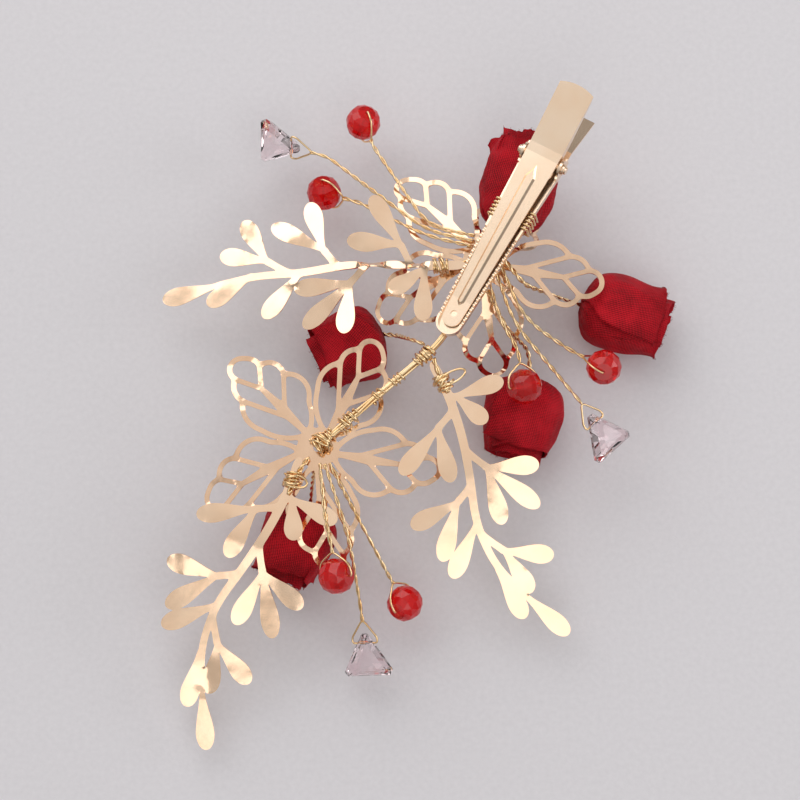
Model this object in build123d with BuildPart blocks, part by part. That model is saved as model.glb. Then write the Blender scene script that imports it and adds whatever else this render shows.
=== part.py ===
from build123d import *
import os
from math import cos, degrees, radians, sin

# Flower hair clip: two openwork metal flowers, three leaf sprays, five fabric rosebuds and
# nine wired beads, all tied with thin wire to the fixed arm of an alligator clip.
#
# Millimetres, +Z up.  The ornament lies face down with the clip on top.  +Y runs up the long
# side of the ornament, from the tip of the lower spray towards the handles of the clip.
# The origin is on the floor, under the middle of the ornament.

# ---- clip -----------------------------------------------------------------------------
CLIP_TIP = (4.9, 16.6, 24.2)     # underside of the fixed arm at its nose
CLIP_HEADING = 60                # from the nose towards the handles, degrees from +X
CLIP_ROLL = 8                    # the clip leans over to its left
SHEET = 0.5                      # clip stock
PIVOT_X = 42.0                   # nose to pin
PIVOT_Z = 2.6
BASE_LENGTH = 56.0
BASE_NOSE_HALF = 2.8
BASE_PIVOT_HALF = 4.6
BASE_WALL = 1.7                  # height of the upturned edge
LEVER_START = 1.9                # the lever stops short of the nose of the fixed arm
LEVER_LENGTH = 57.0
LEVER_NOSE_HALF = 2.0
LEVER_PIVOT_HALF = 3.7
LEVER_END_HALF = 3.9
LEVER_NOSE_Z = 0.8
LEVER_PIVOT_Z = 4.3
LEVER_END_Z = 7.8
RIB_HALF = 1.2                   # raised stiffening rib of the lever, at its wide end
RIB_HEIGHT = 0.55
TOOTH_PITCH = 1.25
TOOTH_COUNT = 17
TOOTH_RADIUS = 0.45
PIN_RADIUS = 0.8
PIN_HALF = 5.6
PIN_HEAD_RADIUS = 1.15
RUNNING = 0.06                   # radial running fit on pins and threaded wires
SPRING_WIRE = 0.3
SPRING_RADIUS = 1.3
SPRING_PITCH = 0.66
SPRING_TURNS = 6
OPENING = 25                     # widest opening of the jaws, degrees

# ---- wire -----------------------------------------------------------------------------
STRAND = 0.5                     # diameter of the craft wire
TWIST = 0.9                      # diameter over two twisted strands
WRAP_PITCH = 0.56
BUNDLE_RADIUS = 0.85             # seven wires, one in the middle of six
BEND = 1.2                       # inside bend of a wire

# ---- openwork flowers -----------------------------------------------------------------
FLOWER_SHEET = 0.5
RIM = 1.3                        # width of the rims and veins
HUB = 4.2
PETAL_REACH = 26.0               # sheet beyond the hub, cut to the petal outline
FLOWER_1 = (-21.0, -6.3, 20.0)
FLOWER_2 = (13.4, 33.6, 18.6)
FLOWER_TURN = 133

# ---- leaf sprays ----------------------------------------------------------------------
SPRAY_SHEET = 0.4
STEM_WIDTH = 1.9
BRANCH_WIDTH = 1.4
LEAF_WIDTH = 4.0
TIE_RADIUS = 1.6                 # coil that ties a spray to its stem

# ---- beads ----------------------------------------------------------------------------
BEAD_RADIUS = 3.7
BEAD_HALF = 3.2
BEAD_END_RADIUS = 1.9
BEAD_BORE = STRAND / 2 + RUNNING
BEAD_FACETS = 12
CRYSTAL_SIDE = 11.4
CRYSTAL_THICK = 4.6
CRYSTAL_BORE_DEPTH = 2.9         # bore to the threaded corner


def place(part, origin, x_dir, z_dir=(0, 0, 1)):
    """Move a part from its own frame to its place on the ornament."""
    return Plane(origin=origin, x_dir=x_dir, z_dir=z_dir).location * part


def wire_piece(points, diameter, bend=BEND, close=False):
    """A round wire bent through the points."""
    with BuildPart() as wire:
        with BuildLine() as path:
            FilletPolyline(*points, radius=bend, close=close)
        with BuildSketch(Plane(origin=path.line @ 0, z_dir=path.line % 0)):
            Circle(diameter / 2)
        sweep()
    return wire.part


def coil_piece(turns, radius, wire=STRAND, pitch=WRAP_PITCH):
    """A close coil of wire about +Z, centred on the origin."""
    height = turns * pitch
    with BuildPart() as coil:
        with BuildLine(Plane.XY.offset(-height / 2)) as path:
            Helix(pitch=pitch, height=height, radius=radius)
        with BuildSketch(Plane(origin=path.line @ 0, z_dir=path.line % 0)):
            Circle(wire / 2)
        sweep(is_frenet=True)
    return coil.part


pieces = {}

# =======================================================================================
# Alligator clip, drawn nose at the origin, handles along +X
# =======================================================================================
heading = radians(CLIP_HEADING)
roll = radians(CLIP_ROLL)
clip_z = (-sin(heading) * sin(roll), cos(heading) * sin(roll), cos(roll))
clip_plane = Plane(origin=CLIP_TIP, x_dir=(cos(heading), sin(heading), 0), z_dir=clip_z)


def arm_outline(start, end, nose_half, pivot_half, end_half):
    """Plan of an arm: round nose, tapered jaw, parallel handle with a slightly convex end."""
    with BuildSketch() as outline:
        with BuildLine():
            Polyline((start + nose_half, nose_half), (PIVOT_X, pivot_half), (end, end_half))
            ThreePointArc((end, end_half), (end + 0.8, 0), (end, -end_half))
            Polyline((end, -end_half), (PIVOT_X, -pivot_half), (start + nose_half, -nose_half))
            ThreePointArc(
                (start + nose_half, -nose_half), (start, 0), (start + nose_half, nose_half)
            )
        make_face()
    return outline.sketch


base_plan = arm_outline(0, BASE_LENGTH, BASE_NOSE_HALF, BASE_PIVOT_HALF, BASE_PIVOT_HALF - 0.4)
base_hollow = arm_outline(
    SHEET,
    BASE_LENGTH,
    BASE_NOSE_HALF - SHEET,
    BASE_PIVOT_HALF - SHEET,
    BASE_PIVOT_HALF - SHEET,
)
lever_plan = arm_outline(
    LEVER_START, LEVER_LENGTH, LEVER_NOSE_HALF, LEVER_PIVOT_HALF, LEVER_END_HALF
)

with BuildPart() as clip_base:
    # the trough of the jaw, as far as the pin
    with BuildSketch():
        add(base_plan)
        with Locations((PIVOT_X + 32.5, 0)):
            Rectangle(60, 20, mode=Mode.SUBTRACT)
    extrude(amount=BASE_WALL)
    with BuildSketch(Plane.XY.offset(SHEET)):
        add(base_hollow)
    extrude(amount=10, mode=Mode.SUBTRACT)
    # handle, bent away from the lever
    with BuildSketch(Plane.XZ):
        with BuildLine():
            Polyline((PIVOT_X + 2.2, 0.25), (PIVOT_X + 4.5, 0.25), (BASE_LENGTH, -4.2))
        trace(line_width=SHEET)
    extrude(amount=BASE_PIVOT_HALF - 0.4, both=True)
    # ears that carry the pin
    with BuildSketch(Plane.XZ):
        with Locations((PIVOT_X, PIVOT_Z)):
            Circle(1.9)
        with Locations((PIVOT_X, PIVOT_Z / 2)):
            Rectangle(5, PIVOT_Z)
    extrude(amount=BASE_PIVOT_HALF, both=True)
    with BuildSketch(Plane.XZ):
        with Locations((PIVOT_X, 5 + SHEET)):
            Rectangle(8, 10)
    extrude(amount=BASE_PIVOT_HALF - SHEET, both=True, mode=Mode.SUBTRACT)
    # teeth along both upturned edges
    with BuildSketch(Plane.XZ):
        with Locations((3.2 + TOOTH_PITCH * TOOTH_COUNT / 2, BASE_WALL)):
            with GridLocations(TOOTH_PITCH, 1, TOOTH_COUNT, 1):
                Circle(TOOTH_RADIUS)
    extrude(amount=10, both=True, mode=Mode.SUBTRACT)
    with BuildSketch(Plane.XZ):
        with Locations((PIVOT_X, PIVOT_Z)):
            Circle(PIN_RADIUS)
    extrude(amount=10, both=True, mode=Mode.SUBTRACT)

jaw_rise = LEVER_PIVOT_Z - LEVER_NOSE_Z - 0.4
jaw_run = PIVOT_X - 8
rib_plane = Plane(
    origin=(8, 0, LEVER_NOSE_Z + 0.4 + SHEET - 0.02),
    x_dir=(jaw_run, 0, jaw_rise),
    z_dir=(-jaw_rise, 0, jaw_run),
)

with BuildPart() as clip_lever:
    with BuildSketch(Plane.XZ):
        with BuildLine():
            Polyline(
                (0, LEVER_NOSE_Z + SHEET / 2),
                (8, LEVER_NOSE_Z + SHEET / 2 + 0.4),
                (PIVOT_X, LEVER_PIVOT_Z + SHEET / 2),
                (PIVOT_X + 2, LEVER_PIVOT_Z + SHEET / 2 + 0.3),
                (LEVER_LENGTH + 3, LEVER_END_Z + 1.2),
            )
        trace(line_width=SHEET)
    extrude(amount=10, both=True)
    with BuildSketch(Plane.XY.offset(-5)):
        add(lever_plan)
    extrude(amount=25, mode=Mode.INTERSECT)
    # folded sides along the handle, with a lobe round the pin
    with BuildSketch(Plane.XZ):
        with BuildLine():
            Polyline(
                (PIVOT_X - 3.5, LEVER_PIVOT_Z),
                (PIVOT_X + 2, LEVER_PIVOT_Z + 0.4),
                (LEVER_LENGTH - 0.3, LEVER_END_Z),
                (LEVER_LENGTH - 0.3, LEVER_END_Z - 1.2),
                (PIVOT_X + 4, LEVER_PIVOT_Z - 1.4),
                (PIVOT_X - 1, LEVER_PIVOT_Z - 2.2),
                close=True,
            )
        make_face()
        with Locations((PIVOT_X, PIVOT_Z)):
            Circle(1.6)
        with Locations((PIVOT_X, (PIVOT_Z + LEVER_PIVOT_Z) / 2)):
            Rectangle(3.2, LEVER_PIVOT_Z - PIVOT_Z + 0.2)
    extrude(amount=LEVER_PIVOT_HALF, both=True)
    with BuildSketch(Plane.XZ):
        with BuildLine():
            Polyline(
                (PIVOT_X - 8, -1),
                (PIVOT_X - 8, LEVER_PIVOT_Z - 0.9),
                (PIVOT_X, LEVER_PIVOT_Z),
                (PIVOT_X + 2, LEVER_PIVOT_Z + 0.3),
                (LEVER_LENGTH + 3, LEVER_END_Z + 1.2 - SHEET / 2),
                (LEVER_LENGTH + 3, -1),
                close=True,
            )
        make_face()
    extrude(amount=LEVER_PIVOT_HALF - SHEET, both=True, mode=Mode.SUBTRACT)
    # raised stiffening rib along the jaw, with sloping sides
    with BuildSketch(rib_plane):
        with BuildLine():
            Polyline(
                (-1.5, 0),
                (-0.5, -0.65 * RIB_HALF),
                (PIVOT_X - 13, -RIB_HALF),
                (PIVOT_X - 10, 0),
                (PIVOT_X - 13, RIB_HALF),
                (-0.5, 0.65 * RIB_HALF),
                close=True,
            )
        make_face()
    extrude(amount=RIB_HEIGHT, taper=40)
    with BuildSketch(Plane.XZ):
        with Locations((PIVOT_X, PIVOT_Z)):
            Circle(PIN_RADIUS + RUNNING)
    extrude(amount=10, both=True, mode=Mode.SUBTRACT)
    # round dimple at the nose
    with BuildSketch(Plane.XY.offset(LEVER_NOSE_Z + 0.35)):
        with Locations((LEVER_START + 2.8, 0)):
            Circle(0.7)
    extrude(amount=3, mode=Mode.SUBTRACT)

with BuildPart() as clip_pin:
    with BuildSketch(Plane.XZ.offset(-PIN_HALF)):
        with Locations((PIVOT_X, PIVOT_Z)):
            Circle(PIN_RADIUS)
    extrude(amount=2 * PIN_HALF)
    with BuildSketch(Plane.XZ.offset(BASE_PIVOT_HALF + 0.05)):
        with Locations((PIVOT_X, PIVOT_Z)):
            Circle(PIN_HEAD_RADIUS)
    extrude(amount=0.5)
    with BuildSketch(Plane.XZ.offset(-BASE_PIVOT_HALF - 0.05)):
        with Locations((PIVOT_X, PIVOT_Z)):
            Circle(PIN_HEAD_RADIUS)
    extrude(amount=-0.5)

spring_coil = coil_piece(SPRING_TURNS, SPRING_RADIUS, 2 * SPRING_WIRE, SPRING_PITCH)
spring_half = SPRING_TURNS * SPRING_PITCH / 2
with BuildPart() as clip_spring:
    add(
        Plane(origin=(PIVOT_X, 0, PIVOT_Z), x_dir=(0, 0, -1), z_dir=(0, 1, 0)).location
        * spring_coil
    )
    # legs that bear on the two handles
    add(
        wire_piece(
            [
                (PIVOT_X, -spring_half, PIVOT_Z - SPRING_RADIUS),
                (PIVOT_X + 3.6, -spring_half, PIVOT_Z - SPRING_RADIUS - 0.2),
                (PIVOT_X + 8.4, -spring_half, -0.35),
            ],
            2 * SPRING_WIRE,
            0.8,
        )
    )
    add(
        wire_piece(
            [
                (PIVOT_X, spring_half, PIVOT_Z + SPRING_RADIUS),
                (PIVOT_X + 2.4, spring_half, PIVOT_Z + SPRING_RADIUS),
                (PIVOT_X + 9.0, spring_half, LEVER_PIVOT_Z + 1.2),
            ],
            2 * SPRING_WIRE,
            0.8,
        )
    )

for builder, name in (
    (clip_base, "clip_base"),
    (clip_lever, "clip_lever"),
    (clip_pin, "clip_pin"),
    (clip_spring, "clip_spring"),
):
    pieces[name] = clip_plane.location * builder.part

# =======================================================================================
# Openwork flowers: a petal is five windows in a lobed rim, stamped and then bent
# =======================================================================================


def window_cell(points, arcs, reach):
    """One cell of a petal: straight veins, then bulging arcs round to the first point."""
    points = [(x * reach, y) for x, y in points]
    with BuildSketch() as cell:
        with BuildLine():
            Polyline(*points)
            start = points[-1]
            for (through_x, through_y), (end_x, end_y) in arcs:
                end = (end_x * reach, end_y)
                ThreePointArc(start, (through_x * reach, through_y), end)
                start = end
        make_face()
    return cell.sketch


# petal along +X, its centre line a slight S; every cell runs vein first, rim last
PETAL_CELLS = (
    (
        ((3.4, -0.5), (11, -0.9), (16.3, -5.4)),
        (((12.8, -7.5), (8.4, -5.2)), ((5.2, -3.2), (3.4, -0.5))),
    ),
    (((16.3, -5.4), (11, -0.9), (17.2, 0), (21.2, -3.0)), (((19.9, -5.3), (16.3, -5.4)),)),
    (
        ((21.2, -3.0), (17.2, 0), (22.4, 2.6)),
        (((25.7, 0.4), (24.4, -1.9)), ((22.9, -3.0), (21.2, -3.0))),
    ),
    (((22.4, 2.6), (17.2, 0), (9.1, 0.2), (17.8, 4.6)), (((20.3, 4.6), (22.4, 2.6)),)),
    (
        ((17.8, 4.6), (9.1, 0.2), (3.4, -0.5)),
        (((6.2, 3.6), (10.6, 5.9)), ((14.6, 6.6), (17.8, 4.6))),
    ),
)


def petal_outline(reach):
    """Plan of a petal that is foreshortened by its bend."""
    cells = [window_cell(points, arcs, reach) for points, arcs in PETAL_CELLS]
    with BuildSketch() as petal:
        for cell in cells:
            add(offset(cell, amount=RIM / 2, mode=Mode.PRIVATE))
        with Locations((2, 0)):
            Rectangle(5, 2.4)
        for cell in cells:
            add(offset(cell, amount=-RIM / 2, mode=Mode.PRIVATE), mode=Mode.SUBTRACT)
    return petal.sketch


def bent_petal(slope, bow):
    """The stamped petal, bent down at the hub and then bowed by so many degrees more."""
    reach = cos(radians(slope + bow / 2))
    outline = petal_outline(reach)
    with BuildPart() as petal:
        with BuildSketch(Plane.XY.offset(-40)):
            add(outline)
        extrude(amount=60)
        with BuildSketch(Plane.XZ):
            with BuildLine():
                Line((-1, 0), (HUB - 1.2, 0))
                JernArc(
                    (HUB - 1.2, 0),
                    (cos(radians(slope)), -sin(radians(slope))),
                    degrees(PETAL_REACH / bow),
                    -bow,
                )
            trace(line_width=FLOWER_SHEET)
        extrude(amount=20, both=True, mode=Mode.INTERSECT)
    return petal.part


def flower_piece(bends):
    petals = [bent_petal(*bend) for bend in bends]
    with BuildPart() as flower:
        with BuildSketch(Plane.XY.offset(-FLOWER_SHEET / 2)):
            Circle(HUB)
            Circle(0.9, mode=Mode.SUBTRACT)
        extrude(amount=FLOWER_SHEET)
        for number, petal in enumerate(petals):
            add(Rot(0, 0, FLOWER_TURN + 72 * number) * petal)
    return flower.part


# slope at the hub and bow of the five petals, turning left from the upper left one
FLOWER_1_BENDS = ((1, 10), (2, 20), (8, 16), (2, 8), (2, 10))
FLOWER_2_BENDS = ((6, 14), (8, 26), (20, 24), (2, 12), (46, 2))
pieces["flower_1"] = Pos(*FLOWER_1) * flower_piece(FLOWER_1_BENDS)
pieces["flower_2"] = Pos(*FLOWER_2) * flower_piece(FLOWER_2_BENDS)


def stone_piece():
    """Faceted stone in a round cup, worn under the hub on the front of the flower."""
    with BuildPart() as stone:
        with BuildSketch(Plane.XY.offset(-0.3 - FLOWER_SHEET / 2)):
            RegularPolygon(2.7, 10)
        with BuildSketch(Plane.XY.offset(-1.6 - FLOWER_SHEET / 2)):
            RegularPolygon(2.9, 10)
        with BuildSketch(Plane.XY.offset(-3.0 - FLOWER_SHEET / 2)):
            RegularPolygon(1.6, 10)
        loft(ruled=True)
    return stone.part


pieces["flower_1_stone"] = Pos(*FLOWER_1) * stone_piece()
pieces["flower_2_stone"] = Pos(*FLOWER_2) * stone_piece()

# =======================================================================================
# Leaf sprays: one stamping used three times; the one on the left is twisted over at its neck
# =======================================================================================
SPRAY_STEM = ((10, -9), (10, -18), (8, -21), (10, -2), (8, 22))        # length, heading
TWISTED_STEM = ((10, -4), (13, -4), (5, 16), (10, -3), (8, 11))
STUB = 7.0                        # stem behind the tie
# distance from the tie, side, branch length and heading, then length and heading of its leaves
SPRAY_LEAVES = (
    (1.6, 1, 1.4, 90, ((10.5, 90), (8.5, 30))),
    (4.2, -1, 5.0, 60, ((12.4, 58), (11.5, 5))),
    (13.0, 1, 5.5, 44, ((11.0, 85), (13.5, 45), (12.0, 6))),
    (20.0, -1, 4.5, 50, ((11.0, 72), (12.5, 25))),
    (28.0, -1, 0, 0, ((12.0, 32),)),
    (30.0, 1, 6.0, 31, ((10.5, 60), (10.3, 9))),
    (38.5, -1, 0, 0, ((11.0, 19),)),
    (46.0, 1, 0, 0, ((12.0, 0),)),
)
TWIST_FROM = 26                   # leaves past the twisted neck change sides


def stem_at(stem, distance):
    """Position and heading at a distance along a stem of straight runs."""
    x, y = 0, 0
    for length, run_heading in stem:
        run = min(length, distance)
        x += run * cos(radians(run_heading))
        y += run * sin(radians(run_heading))
        distance -= run
        if distance <= 1e-6:
            break
    return x, y, run_heading


def leaf_outline(length):
    """Paddle leaf along +X, narrow at its stalk and round at its tip."""
    half = LEAF_WIDTH / 2
    stalk = (0.2 * length, BRANCH_WIDTH / 2 + 0.05)
    shoulder = (length - half, half)
    with BuildSketch() as leaf:
        with BuildLine():
            Line((0, BRANCH_WIDTH / 2), stalk)
            ThreePointArc(stalk, (0.52 * length, 0.82 * half), shoulder)
            ThreePointArc(shoulder, (length, 0), (shoulder[0], -half))
            ThreePointArc(
                (shoulder[0], -half), (0.52 * length, -0.82 * half), (stalk[0], -stalk[1])
            )
            Line((stalk[0], -stalk[1]), (0, -BRANCH_WIDTH / 2))
            Line((0, -BRANCH_WIDTH / 2), (0, BRANCH_WIDTH / 2))
        make_face()
    return leaf.sketch


def spray_outline(stem, twisted):
    nodes = [(-STUB, 0)] + [stem_at(stem, 0)[:2]]
    reach = 0
    for length, _ in stem:
        reach += length
        nodes.append(stem_at(stem, reach)[:2])
    with BuildSketch() as outline:
        with BuildLine():
            Polyline(*nodes)
        trace(line_width=STEM_WIDTH)
        for distance, side, branch, branch_turn, leaves in SPRAY_LEAVES:
            flip = -side if twisted and distance > TWIST_FROM else side
            x, y, along = stem_at(stem, distance)
            toward = radians(along + flip * branch_turn)
            fork = (x + branch * cos(toward), y + branch * sin(toward))
            if branch:
                with BuildLine():
                    Line((x, y), fork)
                trace(line_width=BRANCH_WIDTH)
            for length, turn in leaves:
                add(Pos(*fork) * Rot(0, 0, along + flip * turn) * leaf_outline(length))
    return outline.sketch


def spray_piece(outline, side_line):
    """The flat stamping bent to follow a side view given as distance and height."""
    with BuildPart() as spray:
        with BuildSketch(Plane.XY.offset(-40)):
            add(outline)
        extrude(amount=80)
        with BuildSketch(Plane.XZ):
            with BuildLine():
                FilletPolyline(*side_line, radius=18)
            trace(line_width=SPRAY_SHEET)
        extrude(amount=40, both=True, mode=Mode.INTERSECT)
    return spray.part


plain_outline = spray_outline(SPRAY_STEM, False)
twisted_outline = spray_outline(TWISTED_STEM, True)


def direction(degrees_from_x):
    return (cos(radians(degrees_from_x)), sin(radians(degrees_from_x)), 0)


SPRAY_A_TIE, SPRAY_A_HEADING = (2.7, 31.7, 22.0), 182
SPRAY_B_TIE, SPRAY_B_HEADING = (-26.6, -15.0, 21.4), -108
SPRAY_C_TIE, SPRAY_C_HEADING = (5.7, 5.4, 21.4), -62
pieces["spray_a"] = place(
    spray_piece(twisted_outline, ((-10, 0), (12, -0.6), (32, -5.5), (66, -13))),
    SPRAY_A_TIE,
    direction(SPRAY_A_HEADING),
)
pieces["spray_b"] = place(
    spray_piece(plain_outline, ((-10, 0.2), (10, -0.8), (26, -6.5), (68, -19.5))),
    SPRAY_B_TIE,
    direction(SPRAY_B_HEADING),
)
pieces["spray_c"] = place(
    spray_piece(plain_outline, ((-10, 0.4), (14, -1.2), (32, -6.5), (68, -18.5))),
    SPRAY_C_TIE,
    direction(SPRAY_C_HEADING),
)

# =======================================================================================
# Rosebuds: rolled fabric, base at the origin, opening along +X
# =======================================================================================


def rose_piece(length, radius, flatten):
    with BuildPart() as rose:
        with BuildSketch(Plane.XZ):
            with BuildLine():
                Line((0, 0), (0, 1.3))
                Spline(
                    (0, 1.3),
                    (0.1 * length, 0.66 * radius),
                    (0.42 * length, radius),
                    (length, 0.74 * radius),
                )
                Polyline(
                    (length, 0.74 * radius),
                    (length, 0.64 * radius),
                    (0.75 * length, 0.58 * radius),
                    (0.97 * length, 0.5 * radius),
                    (0.97 * length, 0.38 * radius),
                    (0.8 * length, 0.32 * radius),
                    (0.94 * length, 0.2 * radius),
                    (0.94 * length, 0),
                    (0, 0),
                )
            make_face()
        revolve(axis=Axis.X)
        scale(by=(1, 1, flatten))
    return rose.part


# base, end of the opening, length, radius, flattening
ROSES = {
    "rose_1": ((34.5, 26.6, 7.5), (54.2, 21.4, 7.5), 20.5, 8.8, 0.84),
    "rose_2": ((23.6, 11.0, 7.5), (19.6, -8.3, 7.5), 19.5, 8.9, 0.83),
    "rose_3": ((-7.6, 20.2, 7.3), (-23.3, 14.5, 7.3), 16.7, 8.8, 0.82),
    "rose_4": ((18.6, 40.0, 17.0), (24.0, 63.6, 13.2), 24.5, 8.2, 0.7),
    "rose_5": ((-22.9, -16.4, 7.3), (-30.0, -34.6, 7.3), 18.8, 8.3, 0.86),
}
for name, (base, opening, length, radius, flatten) in ROSES.items():
    run = Vector(*opening) - Vector(*base)
    pieces[name] = place(
        rose_piece(length, radius, flatten), base, run, run.cross(Vector(run.Y, -run.X, 0))
    )

# =======================================================================================
# Beads, each threaded on a closed loop at the end of its own twisted wire
# =======================================================================================


def rondelle_piece():
    """Faceted bead, bore along Y."""
    with BuildPart() as bead:
        for y, radius in (
            (-BEAD_HALF, BEAD_END_RADIUS),
            (-0.9, BEAD_RADIUS),
            (0.9, BEAD_RADIUS),
            (BEAD_HALF, BEAD_END_RADIUS),
        ):
            with BuildSketch(Plane.XZ.offset(-y)):
                RegularPolygon(radius, BEAD_FACETS)
        loft(ruled=True)
        with BuildSketch(Plane.XZ):
            Circle(BEAD_BORE)
        extrude(amount=BEAD_HALF + 1, both=True, mode=Mode.SUBTRACT)
    return bead.part


def crystal_piece():
    """Three-cornered cut crystal with its threaded corner towards +X; bore along Y, at x = 0."""
    centre = CRYSTAL_BORE_DEPTH - CRYSTAL_SIDE / 3**0.5
    with BuildPart() as crystal:
        for z, size in ((-0.5, 0.62), (-0.18, 1.0), (0.18, 1.0), (0.5, 0.62)):
            with BuildSketch(Plane.XY.offset(z * CRYSTAL_THICK)) as cut:
                with Locations((centre, 0)):
                    RegularPolygon(size * CRYSTAL_SIDE / 3**0.5, 3)
                fillet(cut.vertices(), 0.8 * size)
        loft(ruled=True)
        with BuildSketch(Plane.XZ):
            Circle(BEAD_BORE)
        extrude(amount=CRYSTAL_SIDE, both=True, mode=Mode.SUBTRACT)
    return crystal.part


def bead_wire_piece(centre, roll, stem_points, loop_points):
    """The loop is drawn with its threaded leg on Y and its twist on +X, and turned by its roll."""
    middle = Vector(*centre)
    toward = (Vector(*stem_points[-1]) - middle).normalized()
    level = Plane(origin=centre, x_dir=toward, z_dir=toward.cross(Vector(-toward.Y, toward.X, 0)))
    frame = Plane(level.location * Location((0, 0, 0), (roll, 0, 0)))
    twist_end = middle + toward * (loop_points[-1][0] - 0.6)
    stem = wire_piece([*stem_points, tuple(twist_end)], TWIST)
    loop = wire_piece([(x, y, 0) for x, y in loop_points], STRAND, 0.9, close=True)
    with BuildPart() as wire:
        add(frame.location * loop)
        add(stem)
    return wire.part, frame


half = BEAD_HALF + 0.65
BEAD_LOOP = ((2.6, 0.3 - half), (0, -half), (0, half), (2.6, half - 0.3), (5.2, 0))
corner = CRYSTAL_BORE_DEPTH * 0.58 + 1.0
CRYSTAL_LOOP = ((1.2, -corner), (0, -corner), (0, corner), (1.2, corner), (5.2, 0))

# centre of the bore, roll of the loop, and the stem from its root to the loop
BEADS = {
    "bead_a1": (
        (-11.9, 65.7, 12.0),
        68,
        ((11.6, 38.4, 20.9), (2.0, 40.5, 20.6), (-9.5, 59.5, 14.0)),
    ),
    "bead_a2": (
        (-20.3, 50.6, 10.0),
        62,
        ((10.8, 36.2, 20.9), (1.2, 38.6, 20.5), (-12.5, 47.5, 13.5)),
    ),
    "bead_b1": (
        (38.4, 11.0, 18.0),
        60,
        ((17.2, 31.8, 20.6), (21.6, 20.8, 20.6), (31.0, 14.6, 19.0)),
    ),
    "bead_b2": (
        (21.8, 6.8, 18.5),
        30,
        ((14.6, 28.6, 20.6), (16.8, 20.5, 20.6), (20.4, 14.6, 19.5)),
    ),
    "bead_c1": (
        (-17.0, -32.6, 18.8),
        -35,
        ((-20.4, -9.9, 22.6), (-19.2, -21.5, 22.2), (-18.0, -26.8, 20.6)),
    ),
    "bead_c2": (
        (-3.0, -37.4, 10.0),
        42,
        ((-18.4, -9.8, 22.2), (-13.0, -20.0, 19.5), (-6.6, -31.4, 12.5)),
    ),
}
CRYSTALS = {
    "crystal_a": (
        (-27.4, 60.2, 12.0),
        50,
        ((11.2, 37.3, 20.9), (1.6, 39.6, 20.5), (-19.5, 57.5, 14.0)),
    ),
    "crystal_b": (
        (36.6, -0.4, 16.0),
        20,
        ((16.2, 30.2, 20.6), (19.5, 20.0, 20.6), (33.4, 3.8, 17.5)),
    ),
    "crystal_c": (
        (-11.2, -45.6, 9.5),
        -18,
        ((-19.4, -10.0, 22.4), (-14.6, -24.0, 19.5), (-12.2, -38.0, 12.5)),
    ),
}
bead_frames = {}
for name, (centre, loop_roll, stem) in BEADS.items():
    wire, bead_frames[name] = bead_wire_piece(centre, loop_roll, stem, BEAD_LOOP)
    pieces[f"{name}_wire"] = wire
    pieces[name] = bead_frames[name].location * rondelle_piece()
for name, (centre, loop_roll, stem) in CRYSTALS.items():
    wire, bead_frames[name] = bead_wire_piece(centre, loop_roll, stem, CRYSTAL_LOOP)
    pieces[f"{name}_wire"] = wire
    pieces[name] = bead_frames[name].location * crystal_piece()

# =======================================================================================
# Wires: the bundle along the clip, its wraps, the stems of the roses and sprays, the ties
# =======================================================================================
BUNDLE_TOP = clip_plane.from_local_coords(Vector(33, 0, -1.35))
BUNDLE_NOSE = clip_plane.from_local_coords(Vector(-1.4, 0, -1.35))
BUNDLE_END = Vector(-18.9, -4.6, 21.9)

with BuildPart() as bundle_wires:
    with BuildLine() as bundle_path:
        FilletPolyline(BUNDLE_TOP, BUNDLE_NOSE, BUNDLE_END, radius=3)
    with BuildSketch(Plane(origin=bundle_path.line @ 0, z_dir=bundle_path.line % 0)):
        Circle(STRAND / 2)
        with PolarLocations(STRAND + 0.06, 6):
            Circle(STRAND / 2)
    sweep()
pieces["bundle_wires"] = bundle_wires.part

bundle_run = (BUNDLE_END - BUNDLE_NOSE).normalized()
bundle_side = bundle_run.cross(Vector(0, 0, 1))
wrap_radius = STRAND * 1.5 + 0.06 + STRAND / 2 + 0.05
# name, distance from the bend at the nose, turns
for name, distance, turns in (
    ("wrap_nose", 4.2, 6),
    ("wrap_middle", 12.0, 2),
    ("wrap_lower", 17.2, 2),
    ("wrap_flower", 25.4, 5),
):
    pieces[name] = place(
        coil_piece(turns, wrap_radius), BUNDLE_NOSE + bundle_run * distance, bundle_side, bundle_run
    )

# binding wire round the fixed arm and the bundle
arm_half = BASE_NOSE_HALF + (BASE_PIVOT_HALF - BASE_NOSE_HALF) * 31 / PIVOT_X
binding_half = arm_half + STRAND / 2 + 0.1
binding_points = []
for turn in range(5):
    start = 27 + turn * 0.9
    binding_points += [
        (start, binding_half, -2.75),
        (start, binding_half, BASE_WALL + 0.35),
        (start + 0.25, -binding_half, BASE_WALL + 0.35),
        (start + 0.45, -binding_half, -2.75),
    ]
pieces["clip_binding"] = clip_plane.location * wire_piece(binding_points, STRAND, 0.35)

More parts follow.
